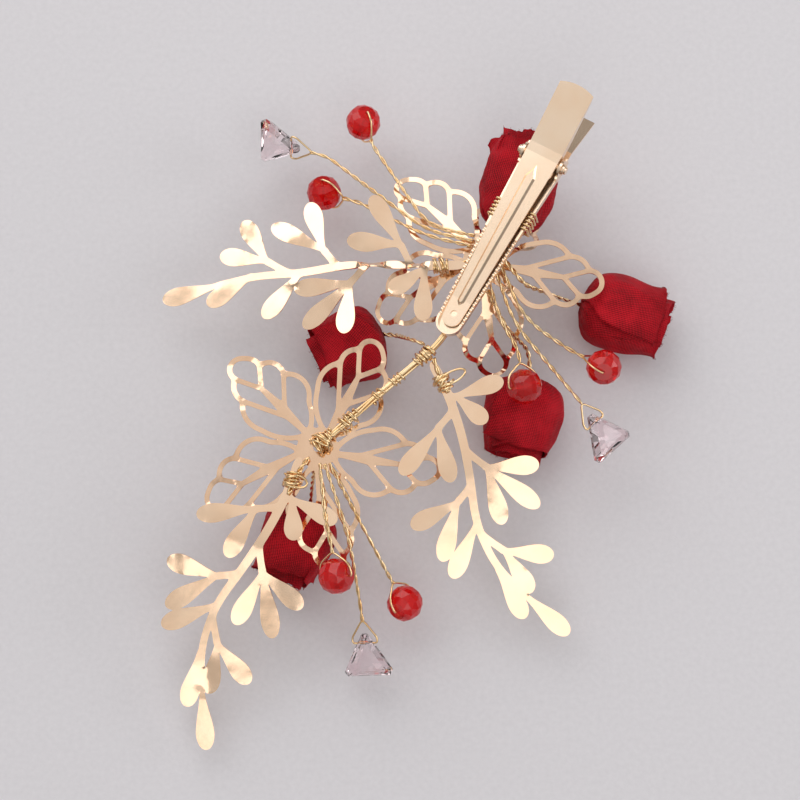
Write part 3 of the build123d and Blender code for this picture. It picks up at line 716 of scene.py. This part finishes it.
def spray(name, node, tie, heading, stem, side_line, seed):
    along = direction(heading)
    left = left_of(along)
    rand = random.Random(seed)
    twisted_over = stem is TWISTED_STEM
    reach = sum(length for length, _ in stem)
    spine = [Vector((-STUB, 0, 0))] + [stem_at(stem, reach * k / 5)[0] for k in range(6)]
    spine = resample(rounded(spine, 4.0), 0.8)
    halves = [STEM_HALF * (1 - 0.3 * k / len(spine)) for k in range(len(spine))]
    halves[0] *= 0.45
    halves[1] *= 0.85
    solids = [ribbon_ring(spine, halves)]
    leaves = {}
    for distance, side, branch, branch_turn, blades in SPRAY_LEAVES:
        flip = -side if twisted_over and distance > TWIST_FROM else side
        root, root_heading = stem_at(stem, distance)
        toward = direction(root_heading + flip * branch_turn)
        fork = root + toward * branch
        if branch:
            line = [root + toward * branch * k / 5 for k in range(6)]
            solids.append(ribbon_ring(line, BRANCH_HALVES))
        for length, turn in blades:
            toward = direction(root_heading + flip * turn)
            steps = range(-2, LEAF_STEPS + 1)
            line = [fork + toward * length * k / LEAF_STEPS for k in steps]
            half_widths = [max(0.05, leaf_half(max(0, k) / LEAF_STEPS)) for k in steps]
            solids.append(ribbon_ring(line, half_widths))
            roll, pitch = rand.uniform(-0.15, 0.15), rand.uniform(-0.05, 0.06)
            if not branch:
                roll, pitch = 0.3 * roll, 0.0
            leaves[len(solids) - 1] = (fork, toward, length, roll, pitch)

    def leaf_rise(point, owners):
        """Each leaf is tilted a little of its own, from its stalk outwards."""
        rises = []
        for owner in owners & set(leaves):
            fork, toward, length, roll, pitch = leaves[owner]
            u = (point - fork).dot(toward)
            v = (point - fork).dot(left_of(toward))
            rises.append(smoothstep(0.1, 0.6, u / length) * (roll * v + pitch * u))
        return sum(rises) / max(1, len(rises))

    def bend(point, rise):
        z = height_at(side_line, point.x) + rise
        y = point.y
        if twisted_over and 0 < point.x < TWIST_STOP:
            off = y - min(spine, key=lambda at: abs(at.x - point.x)).y
            window = smoothstep(*TWIST_RISE, point.x) * (1 - smoothstep(*TWIST_FALL, point.x))
            turn = window * math.radians(40 + 24 * math.sin(point.x / 1.6))
            fade = 1 - smoothstep(1.0, 5.0, abs(off))
            held = max(-1.0, min(1.0, off)) * fade
            z += held * math.sin(turn)
            y -= held * (1 - math.cos(turn))
        return tie + along * point.x + left * y + Vector((0, 0, z))

    plan, triangles, owners = blank(solids, [])
    for point, who in zip(plan, owners):
        met = [k for k in who if k in leaves and (point - leaves[k][0]).length > OVERLAP_FROM]
        if len(met) > 1:
            for k in met:
                leaves[k] = (*leaves[k][:3], 0.0, 0.0)
    rises = [leaf_rise(p, who) for p, who in zip(plan, owners)]
    rises = smoothed(rises, triangles, SPRAY_SMOOTHING)
    bent = [bend(p, rise) for p, rise in zip(plan, rises)]
    stamping(name, node, bent, triangles, SPRAY_THICK, pale_gold)


for seed, (node, (tie, heading, stem, side_line)) in enumerate(SPRAYS.items()):
    spray(f"{node}_stamping", node, tie, heading, stem, side_line, 11 + seed)


# ---------------- beads and their wires
STRAND = 0.22
STEM_STRAND = 0.25
TWIST_PITCH = 5.6
TWIST_STEP = 0.3


def twisted(points, cut, phase, strand=STRAND, pitch=TWIST_PITCH):
    """Two strands wound loosely round each other along a smooth line."""
    line = resample(rounded(points, cut, steps=8), TWIST_STEP)
    frames = frames_along(line)
    strands = []
    for side in (0, math.pi):
        path = []
        for i, (point, (n, b)) in enumerate(zip(line, frames)):
            angle = phase + side + math.tau * i * TWIST_STEP / pitch
            angle += 0.5 * math.sin(i * TWIST_STEP / 3.1 + phase)
            apart = strand * (1.0 + 0.22 * math.sin(i * TWIST_STEP / 4.3 + 2 * phase))
            path.append(point + on_circle(n, b, angle, apart))
        strands.append(tube(path, strand, 7))
    return joined(strands)


def wire_piece(name, node, parts):
    piece = solid(name, *joined(parts), wire_gold)
    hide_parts(node)


# centre of the bore, roll of the loop, and the stem from its root to the loop
BEADS = {
    "bead_a1": (
        (-11.9, 65.7, 12.0), 68, ((11.6, 38.4, 20.9), (2.0, 40.5, 20.6), (-9.5, 59.5, 14.0))
    ),
    "bead_a2": (
        (-20.3, 50.6, 10.0), 62, ((10.8, 36.2, 20.9), (1.2, 38.6, 20.5), (-12.5, 47.5, 13.5))
    ),
    "bead_b1": (
        (38.4, 11.0, 18.0), 60, ((17.2, 31.8, 20.6), (21.6, 20.8, 20.6), (31.0, 14.6, 19.0))
    ),
    "bead_b2": (
        (21.8, 6.8, 18.5), 30, ((14.6, 28.6, 20.6), (16.8, 20.5, 20.6), (20.4, 14.6, 19.5))
    ),
    "bead_c1": (
        (-17.0, -32.6, 18.8), -35, ((-20.4, -9.9, 22.6), (-19.2, -21.5, 22.2), (-18.0, -26.8, 20.6))
    ),
    "bead_c2": (
        (-3.0, -37.4, 10.0), 42, ((-18.4, -9.8, 22.2), (-13.0, -20.0, 19.5), (-6.6, -31.4, 12.5))
    ),
}
CRYSTALS = {
    "crystal_a": (
        (-27.4, 60.2, 12.0), 50, ((11.2, 37.3, 20.9), (1.6, 39.6, 20.5), (-19.5, 57.5, 14.0))
    ),
    "crystal_b": (
        (36.6, -0.4, 16.0), 20, ((16.2, 30.2, 20.6), (19.5, 20.0, 20.6), (33.4, 3.8, 17.5))
    ),
    "crystal_c": (
        (-11.2, -45.6, 9.5), -18, ((-19.4, -10.0, 22.4), (-14.6, -24.0, 19.5), (-12.2, -38.0, 12.5))
    ),
}
# wire loops in the stone's frame: along the stem and along the bore, the stem's end last
BEAD_LOOP = ((2.6, -3.55), (0, -3.85), (0, 3.85), (2.6, 3.55), (5.2, 0))
CRYSTAL_LOOP = ((1.2, -2.68), (0, -2.68), (0, 2.68), (1.2, 2.68), (5.2, 0))
LOOP_CUTS = (1.6, 0.55, 0.55, 1.6, 1.2)
LOOP_STEP = 0.2
STEM_INTO_LOOP = 0.5
STEM_CUT = 7.0
BORE = 0.31
CRYSTAL_SIDE = 11.4
CRYSTAL_RADIUS = CRYSTAL_SIDE / math.sqrt(3)
CORNER_CUT = 0.1
CRYSTAL_CENTRE = Vector((2.9 - CRYSTAL_RADIUS, 0, 0))


def bead_frame(centre, roll, stem):
    """Middle of the bore, and a rotation with X to the stem's end and Y along the bore."""
    centre = Vector(centre)
    toward = (Vector(stem[-1]) - centre).normalized()
    up = toward.cross(left_of(toward)).normalized()
    turn = Matrix.Rotation(math.radians(roll), 3, "X")
    return centre, frame_of(toward, up.cross(toward)) @ turn


def ring_faces(rows, sides, shifts):
    """Facets between the rows of a stone; rows whose shifts differ meet in triangles."""
    faces = []
    for r in range(rows - 1):
        for k in range(sides):
            m = (k + 1) % sides
            a, b = r * sides + k, r * sides + m
            c, d = (r + 1) * sides + k, (r + 1) * sides + m
            if shifts[r] == shifts[r + 1]:
                faces.append((a, b, d, c))
            elif shifts[r + 1]:
                faces += [(a, b, c), (b, d, c)]
            else:
                faces += [(a, b, d), (a, d, c)]
    return faces


def rondelle(centre, turn):
    """A cut bead: rows of facets that alternate between the bore's two rims."""
    sides = 12
    # place along the bore, radius and turn by a share of a facet
    half = ((-3.2, BORE, 0), (-3.2, 1.9, 0), (-2.2, 3.1, 0.5), (-0.55, 3.7, 0))
    rows = half + tuple((-y, radius, shift) for y, radius, shift in reversed(half))
    vertices = []
    for y, radius, shift in rows:
        for k in range(sides):
            a = math.tau * (k + shift) / sides
            vertices.append(centre + turn @ Vector((radius * math.cos(a), y, radius * math.sin(a))))
    faces = ring_faces(len(rows), sides, [row[2] for row in rows])
    last = (len(rows) - 1) * sides
    for k in range(sides):
        m = (k + 1) % sides
        faces.append((last + k, last + m, m, k))
    return vertices, [tuple(reversed(f)) for f in faces]


def crystal_cut(centre, turn):
    """A three-cornered stone: tables above and below, and two rows of facets to the girdle."""
    # height and share of the full size
    rows = ((-2.3, 0.46), (-1.6, 0.80), (-0.45, 1.0), (0.45, 1.0), (1.6, 0.80), (2.3, 0.46))
    corners = [direction(120 * k) * CRYSTAL_RADIUS for k in range(3)]
    vertices = []
    for z, size in rows:
        for k, corner in enumerate(corners):
            for beside in (corners[k - 1], corners[(k + 1) % 3]):
                point = corner.lerp(beside, CORNER_CUT) * size
                vertices.append(centre + turn @ (CRYSTAL_CENTRE + point + Vector((0, 0, z))))
    faces = ring_faces(len(rows), 6, [0] * len(rows))
    faces.append(tuple(range(5, -1, -1)))
    faces.append(tuple(range(len(vertices) - 6, len(vertices))))
    return vertices, faces


def drilled(piece, centre, turn):
    """Bore the stone along its wire, as its CAD solid is."""
    ends = [centre + turn @ Vector((0, y, 0)) for y in (-6, 6)]
    drill = solid("drill", *tube(ends, BORE, 14), pink_glass, smooth=False)
    cut = piece.modifiers.new("bore", "BOOLEAN")
    cut.object = drill
    cut.solver = "EXACT"
    bpy.context.view_layer.update()
    seen = piece.evaluated_get(bpy.context.evaluated_depsgraph_get())
    bored = bpy.data.meshes.new_from_object(seen)
    piece.modifiers.clear()
    piece.data = bored
    bpy.data.objects.remove(drill)


for number, (name, (centre, roll, stem)) in enumerate({**BEADS, **CRYSTALS}.items()):
    middle, turn = bead_frame(centre, roll, stem)
    plan = BEAD_LOOP if name in BEADS else CRYSTAL_LOOP
    loop = rounded([(x, y, 0) for x, y in plan], LOOP_CUTS, closed=True)
    loop = [middle + turn @ point for point in resample(loop, LOOP_STEP, closed=True)]
    end = middle + turn @ Vector((plan[-1][0] - STEM_INTO_LOOP, 0, 0))
    parts = [tube(loop, STRAND, closed=True), twisted([*stem, end], STEM_CUT, number * 0.7)]
    wire_piece(f"{name}_twist", f"{name}_wire", parts)
    if name in BEADS:
        stone = solid(f"{name}_cut", *rondelle(middle, turn), red_glass, name, smooth=False)
    else:
        stone = solid(f"{name}_cut", *crystal_cut(middle, turn), pink_glass, name, smooth=False)
        drilled(stone, middle, turn)
    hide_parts(name)


# ---------------- bundle, windings and stems
CLIP_TIP = Vector((4.9, 16.6, 24.2))
CLIP_HEADING = math.radians(60)
CLIP_ROLL = math.radians(8)
clip_x = Vector((math.cos(CLIP_HEADING), math.sin(CLIP_HEADING), 0))
clip_z = Vector(
    (
        -math.sin(CLIP_HEADING) * math.sin(CLIP_ROLL),
        math.cos(CLIP_HEADING) * math.sin(CLIP_ROLL),
        math.cos(CLIP_ROLL),
    )
)
# the bundle runs under the fixed arm and bends just past the nose
BUNDLE_DROP = clip_z * 1.35
BUNDLE_TOP = CLIP_TIP + clip_x * 33 - BUNDLE_DROP
BUNDLE_NOSE = CLIP_TIP - clip_x * 1.4 - BUNDLE_DROP
BUNDLE_END = Vector((-18.9, -4.6, 21.9))
bundle_run = (BUNDLE_END - BUNDLE_NOSE).normalized()


def wander(rand, count):
    """A smooth random run between -1 and 1."""
    knots = [rand.uniform(-1, 1) for _ in range(count + 2)]

    def at(t):
        k = min(count, max(0, int(t * count)))
        return knots[k] + (knots[k + 1] - knots[k]) * smoothstep(0, 1, t * count - k)

    return at


def winding(start, end, turns, radius, mess, seed):
    """An untidy coil of wire round the straight run between two points."""
    rand = random.Random(seed)
    axis = (end - start).normalized()
    n = axis.orthogonal().normalized()
    b = axis.cross(n)
    slide, swell = wander(rand, int(turns * 2)), wander(rand, int(turns * 2))
    steps = int(turns * 16)
    path = []
    for i in range(steps + 1):
        t = i / steps
        angle = math.tau * turns * t + seed
        r = radius * (1 + 0.16 * mess * swell(t))
        at = start.lerp(end, t) + axis * (mess * 0.45 * slide(t))
        path.append(at + on_circle(n, b, angle, r))
    return tube(path, STEM_STRAND, 7)


BUNDLE_WIRES = 7
BUNDLE_RING = 0.54
rand = random.Random(41)
bundle_line = resample(rounded([BUNDLE_TOP, BUNDLE_NOSE, BUNDLE_END], 3.5), 0.6)
bundle_frames = frames_along(bundle_line)
strands = []
for number in range(BUNDLE_WIRES):
    drift, sway = wander(rand, 9), wander(rand, 9)
    path = []
    for i, (point, (n, b)) in enumerate(zip(bundle_line, bundle_frames)):
        t = i / (len(bundle_line) - 1)
        angle = math.tau * number / (BUNDLE_WIRES - 1) + 0.5 * drift(t) + 0.9 * t
        r = 0.0 if number == BUNDLE_WIRES - 1 else BUNDLE_RING + 0.07 * sway(t)
        path.append(point + on_circle(n, b, angle, r))
    strands.append(tube(path, STEM_STRAND, 7))
wire_piece("bundle_strands", "bundle_wires", strands)

# name, distance from the bend at the nose, length, turns, layers
WRAPS = (
    ("wrap_nose", 4.2, 4.4, 6.5, 2),
    ("wrap_middle", 12.0, 2.4, 2.5, 1),
    ("wrap_lower", 17.2, 2.6, 3.0, 1),
    ("wrap_flower", 25.0, 4.6, 6.0, 2),
)
WRAP_RADIUS = 1.06
LAYER_STEP = 0.34
for seed, (name, distance, length, turns, layers) in enumerate(WRAPS):
    coils = []
    for layer in range(layers):
        reach = length * (1 - 0.3 * layer) / 2
        middle = BUNDLE_NOSE + bundle_run * distance
        start, end = middle - bundle_run * reach, middle + bundle_run * reach
        radius = WRAP_RADIUS + LAYER_STEP * layer
        coils.append(winding(start, end, turns * (1 - 0.4 * layer), radius, 1.0, seed * 7 + layer))
    wire_piece(f"{name}_coil", name, coils)


def ball(centre, axis, radius, turns, seed):
    """Wire wound round and round a point, its axis swinging as it goes."""
    rand = random.Random(seed)
    n = axis.orthogonal().normalized()
    b = axis.cross(n)
    swell = wander(rand, turns * 2)
    path = []
    for i in range(turns * 18 + 1):
        t = i / (turns * 18)
        swing = math.tau * 2.3 * t
        tilted = (axis + on_circle(n, b, swing, 0.75)).normalized()
        e1 = tilted.cross(Vector((0.3, 0.2, 1))).normalized()
        e2 = tilted.cross(e1)
        angle = math.tau * turns * t
        r = radius * (1 + 0.16 * swell(t))
        path.append(centre + on_circle(e1, e2, angle, r))
    return tube(path, STEM_STRAND, 7)


KNOT_CENTRE = Vector((-20.2, -5.6, 21.9))
wire_piece(
    "knot_ball",
    "knot",
    [
        ball(KNOT_CENTRE, bundle_run, 1.6, 6, 5),
        ball(KNOT_CENTRE, bundle_run, 2.15, 6, 6),
        winding(KNOT_CENTRE - bundle_run * 3.2, KNOT_CENTRE, 3.5, 1.3, 1.2, 9),
    ],
)

# height of the coil over the tie, and the reach of a loose loop beside it
TIES = {"tie_a": (-0.65, 0.0), "tie_b": (0.45, 1.9), "tie_c": (0.5, 3.0)}
LOOP_LIFT = Vector((0, 0, 1.15))
LOOP_HALF = 1.15


def loose_loop(middle, along, sideways, reach):
    """A slack turn of wire that stands out to one side of a tie."""
    loop = []
    for k in range(40):
        angle = math.tau * k / 40
        out = sideways * reach * (0.7 + math.cos(angle))
        loop.append(middle + out + along * LOOP_HALF * math.sin(angle) + LOOP_LIFT)
    return tube(loop, STEM_STRAND, 7, closed=True)


for seed, (name, (lift, loose)) in enumerate(TIES.items()):
    tie, heading = SPRAYS[name.replace("tie", "spray")][:2]
    along = direction(heading)
    sideways = left_of(along)
    middle = tie + Vector((0, 0, lift)) - along * 1.8
    across = (along + sideways * 0.35).normalized()
    coils = [
        winding(middle - along * 1.7, middle + along * 1.7, 4.5, 1.42, 0.9, 20 + seed),
        winding(middle - across * 1.1, middle + across * 1.3, 2.0, 1.8, 1.0, 30 + seed),
    ]
    if loose:
        coils.append(loose_loop(middle, along, sideways, loose))
    wire_piece(f"{name}_coil", name, coils)

STEMS = {
    "rose_1_stem": ((17.6, 33.6, 20.6), (22.0, 28.0, 20.0), (28.5, 27.6, 12.0), (34.4, 26.6, 7.6)),
    "rose_2_stem": ((14.2, 27.2, 19.5), (18.0, 19.6, 18.2), (23.4, 16.2, 9.0), (23.6, 11.1, 7.6)),
    "rose_3_stem": ((1.0, 15.4, 20.6), (-2.0, 17.0, 18.0), (-4.6, 19.6, 9.0), (-7.5, 20.2, 7.4)),
    "rose_4_stem": ((15.0, 36.4, 20.3), (17.2, 38.4, 19.4), (18.5, 39.8, 17.2)),
    "rose_5_stem": ((-21.6, -9.9, 19.1), (-22.2, -12.4, 14.0), (-22.85, -16.3, 7.6)),
    "spray_a_stem": ((1.6, 31.6, 20.9), (6.0, 31.9, 20.9), (10.6, 33.0, 20.9)),
    "spray_b_stem": ((-22.6, -8.6, 22.3), (-24.4, -11.0, 22.3), (-26.9, -16.2, 22.2)),
    "spray_c_stem": ((2.9, 12.0, 22.6), (4.0, 8.8, 22.4), (5.9, 5.0, 22.2)),
}
for number, (name, points) in enumerate(STEMS.items()):
    twist = twisted(points, 2.5, number * 1.1, STEM_STRAND, 4.2)
    wire_piece(f"{name}_twist", name, [twist])


# ---------------- rosebuds
# base, end of the opening, length, radius, flattening, crumple
ROSES = {
    "rose_1": ((34.5, 26.6, 7.5), (54.2, 21.4, 7.5), 20.5, 8.8, 0.84, 1.0),
    "rose_2": ((23.6, 11.0, 7.5), (19.6, -8.3, 7.5), 19.5, 8.9, 0.83, 1.0),
    "rose_3": ((-7.6, 20.2, 7.3), (-23.3, 14.5, 7.3), 16.7, 8.8, 0.82, 1.2),
    "rose_4": ((18.6, 40.0, 17.0), (24.0, 63.6, 13.2), 24.5, 8.2, 0.7, 2.2),
    "rose_5": ((-22.9, -16.4, 7.3), (-30.0, -34.6, 7.3), 18.8, 8.3, 0.86, 1.2),
}
# turn, half span, size, reach along the bud, outward curl of the lip and slant of the sides
ROSE_PETALS = (
    (20, 118, 0.40, 0.93, 0.04, 0),
    (150, 112, 0.52, 0.97, 0.05, 0),
    (275, 105, 0.66, 0.96, 0.08, 8),
    (40, 98, 0.80, 1.0, 0.10, -8),
    (300, 92, 0.87, 0.96, 0.13, 10),
    (172, 88, 0.93, 0.98, 0.18, 14),
    (52, 72, 1.0, 0.94, 0.22, 26),
)
RIBBON_THICK = 0.15
THREADS = 16
THREAD_RADIUS = 0.035


def bud_radius(s):
    """Outline of a bud, as a share of its full radius: a blunt base and a narrower opening."""
    return (1 - math.exp(-(s + 0.012) / 0.075)) * (1 - 0.30 * max(0.0, (s - 0.4) / 0.6) ** 1.4)


def rose(name, base, opening, length, radius, flatten, crumple, seed):
    """A bud of overlapping ribbon petals, with a fray of short threads at their lips."""
    base, opening = Vector(base), Vector(opening)
    along = (opening - base).normalized()
    side = Vector((0, 0, 1)).cross(along).normalized()
    up = along.cross(side)
    rand = random.Random(seed)
    rows, columns = 22, 36
    vertices, faces, uvs, threads = [], [], [], []
    for layer, (turn, half, size, reach, curl, slant) in enumerate(ROSE_PETALS):
        start = len(vertices)
        turn = math.radians(turn + rand.uniform(-18, 18))
        half = math.radians(half)
        lean = rand.uniform(-0.06, 0.06)
        lip_wave = rand.uniform(0, math.tau)
        for i in range(rows + 1):
            s = i / rows
            for j in range(columns + 1):
                t = 2 * j / columns - 1
                ragged = 0.012 * noise.noise(Vector((t * 8, layer * 3.7, seed))) * s
                tips = 0.018 * math.cos(4.2 * t + lip_wave)
                x = s * (reach * (0.96 - 0.035 * t**6 + tips) + lean * t + ragged)
                angle = turn + half * t * (0.62 + 0.38 * min(1, s / 0.25))
                angle += math.radians(slant) * (s - 0.5)
                lip = max(0.0, (s - 0.74) / 0.26)
                r = radius * size * bud_radius(x)
                wave = 0.4 + 0.5 * math.sin(3 * angle + lip_wave) + 0.15 * t**4
                r += radius * curl * lip**2 * wave
                free_side = smoothstep(0.75, 1.0, t) * smoothstep(0.1, 0.4, s)
                r += 0.5 * t * (1 - 0.3 * s) + 0.35 * free_side
                gather = math.sin(15 * angle + layer) * 0.26 * math.exp(-s / 0.16)
                around = (math.cos(angle) * 2.0, math.sin(angle) * 2.0)
                where = Vector((*around, x * 2.6 + layer + seed))
                fold = noise.noise(where) + 0.5 * noise.noise(where * 2.3)
                r += gather + crumple * 0.62 * fold * min(1, 3 * s)
                r = min(r, radius * 1.1)
                curl_back = 1.3 * lip**3 * curl / 0.2
                point = base + along * (x * length - curl_back)
                point += (side * math.cos(angle) + up * math.sin(angle) * flatten) * max(r, 0.35)
                vertices.append(point)
                uvs.append((angle * radius * size, s * length))
        wide = columns + 1
        for i in range(rows):
            for j in range(columns):
                a = start + i * wide + j
                faces.append((a, a + 1, a + wide + 1, a + wide))
        lip_row = start + rows * wide
        for _ in range(THREADS):
            j = rand.randrange(1, columns)
            root = vertices[lip_row + j]
            out = (root - base - along * (root - base).dot(along)).normalized()
            tip = root + along * rand.uniform(0.15, 0.5) + out * rand.uniform(-0.25, 0.15)
            bend = root.lerp(tip, 0.5) + out.cross(along) * rand.uniform(-0.3, 0.3)
            threads.append(tube([root - along * 0.3, bend, tip], THREAD_RADIUS, 4))
    cloth = solid(f"{name}_ribbon", vertices, faces, red_ribbon, uvs=uvs)
    thick = cloth.modifiers.new("thickness", "SOLIDIFY")
    thick.thickness = RIBBON_THICK * MM
    thick.offset = -1
    fray = solid(f"{name}_threads", *joined(threads), red_ribbon)
    for piece in (cloth, fray):
        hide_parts(name)


for seed, (name, facts) in enumerate(ROSES.items()):
    rose(name, *facts, seed + 3)


# ---------------- spring of the clip
PIVOT = Vector((42.0, 0, 2.6))
SPRING_RADIUS = 1.3
SPRING_HALF = 1.98
SPRING_TURNS = 5.5
SPRING_WIRE = 0.3
# the coil ends this far before its top, and the lever's leg starts further back, inside it
COIL_STOP = math.radians(60)
LEG_START = math.radians(92)
clip_turn = Matrix((clip_x, clip_z.cross(clip_x), clip_z)).transposed()


def spring_arc(start, end):
    """Points of the coil between two angles, measured from the bottom of its first turn."""
    steps = max(4, int((end - start) / math.radians(15)))
    points = []
    for k in range(steps + 1):
        angle = start + (end - start) * k / steps
        y = -SPRING_HALF + 2 * SPRING_HALF * angle / (SPRING_TURNS * math.tau)
        out = Vector((-SPRING_RADIUS * math.sin(angle), y, -SPRING_RADIUS * math.cos(angle)))
        points.append(PIVOT + out)
    return points


def spring_piece(name, body, points, radius):
    """Wire of the spring through points in the clip's frame."""
    line = [CLIP_TIP + clip_turn @ point for point in resample(points, 0.3)]
    piece = solid(name, *tube(line, radius, 10), spring_wire, body)
    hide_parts("clip_spring")


last = SPRING_TURNS * math.tau
low_leg = [
    Vector((PIVOT.x + 8.4, -SPRING_HALF, -0.35)),
    Vector((PIVOT.x + 3.6, -SPRING_HALF, PIVOT.z - SPRING_RADIUS - 0.2)),
]
high_leg = [
    Vector((PIVOT.x + 2.4, SPRING_HALF, PIVOT.z + SPRING_RADIUS)),
    Vector((PIVOT.x + 9.0, SPRING_HALF, 5.5)),
]
coil = low_leg + spring_arc(0, last - COIL_STOP)
leg = spring_arc(last - LEG_START, last) + high_leg
spring_piece("spring_coil", ORNAMENT, coil, SPRING_WIRE)
# a hair thinner than the coil, since its end lies inside the coil's
spring_piece("spring_leg", "lever", leg, SPRING_WIRE * 0.98)


# ---------------- pieces kept from the frame
def finish_node(name, material, bevel=None):
    """Paint a CAD node, and ease its edges if a bevel is given."""
    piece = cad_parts[name]
    piece.data.materials.clear()
    piece.data.materials.append(material)
    if bevel:
        bevelled(piece, bevel)


for name in ("clip_base", "clip_lever", "clip_pin"):
    finish_node(name, clip_gold, 0.12)
finish_node("clip_binding", wire_gold)
for name in ("flower_1_stone", "flower_2_stone"):
    finish_node(name, clear_glass, 0.08)


# ---------------- floor
bpy.ops.mesh.primitive_plane_add(size=6, location=(0, 0, 0))
floor = bpy.context.object
floor.name = "floor"
paper = Shader("floor_paper")
paper.set(Specular_IOR_Level=0.3)
grain = paper.noise(900, 5)
paper_colour = paper.ramp(grain, (0.2, (0.70, 0.68, 0.71)), (0.8, (0.76, 0.74, 0.77)))
paper.feed("Base Color", paper_colour)
paper.feed("Roughness", paper.spread(grain, 0.6, 0.8))
paper.feed("Normal", paper.bump(grain, 0.12, 0.0003))
floor.data.materials.append(paper.material)
